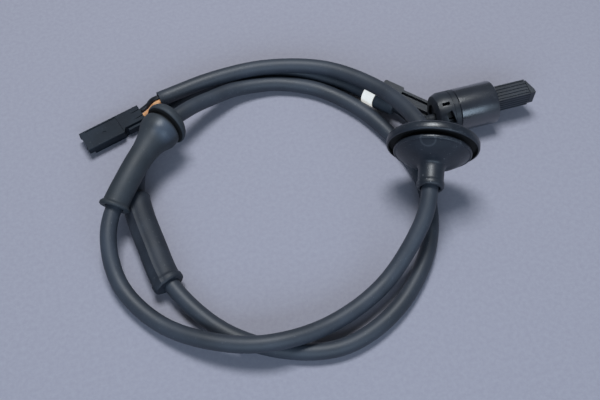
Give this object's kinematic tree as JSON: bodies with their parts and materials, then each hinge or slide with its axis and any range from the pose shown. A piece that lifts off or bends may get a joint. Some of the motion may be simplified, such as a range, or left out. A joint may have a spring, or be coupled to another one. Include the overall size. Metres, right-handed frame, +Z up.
{
  "type": "abs wheel speed sensor",
  "caption": "Round sensor head with a ribbed square tip and a cable arm, on a long looped rubber hose with grommets, a clamp sleeve and a small rectangular plug.",
  "frame": {"origin": "centre of the underside of the box round the sensor head, on the surface that the part lies on", "axes": "+X along the sensor head towards its ribbed tip, +Z up from the surface, +Y to the left of +X"},
  "size_m": [0.2499, 0.1834, 0.0605],
  "materials": {
    "black_plastic": "fine grain, slight sheen",
    "satin_plastic": "smooth satin",
    "black_rubber": "dull moulded rubber",
    "hose_rubber": "smooth, dull",
    "pole_steel": "turned bar",
    "magnet_grey": "dark cast",
    "winding_copper": "enamelled copper wire",
    "contact_brass": "stamped strip",
    "black_jacket": "smooth wire jacket",
    "brown_jacket": "smooth wire jacket",
    "white_band": "matt white sleeve"
  },
  "bodies": {
    "root": {"holder": "black_plastic", "sensor_body": "satin_plastic", "tip_carrier": "black_plastic", "pole_piece": "pole_steel", "magnet": "magnet_grey", "coil_bobbin": "black_plastic", "coil_winding": "winding_copper", "head_terminal_left": "contact_brass", "head_terminal_right": "contact_brass", "rear_seal": "black_rubber", "connector_housing": "black_plastic", "tab_terminal_left": "contact_brass", "tab_terminal_right": "contact_brass", "wire_seal": "black_rubber", "rear_cover": "black_plastic", "connector_latch": "black_plastic", "hose": "hose_rubber", "lead": "black_rubber", "wire_black": "black_jacket", "wire_brown": "brown_jacket", "end_sleeve": "black_rubber", "marking_band": "white_band", "clamp_sleeve": "black_rubber", "small_boot": "black_rubber", "big_grommet": "black_rubber"}
  },
  "joints": []
}
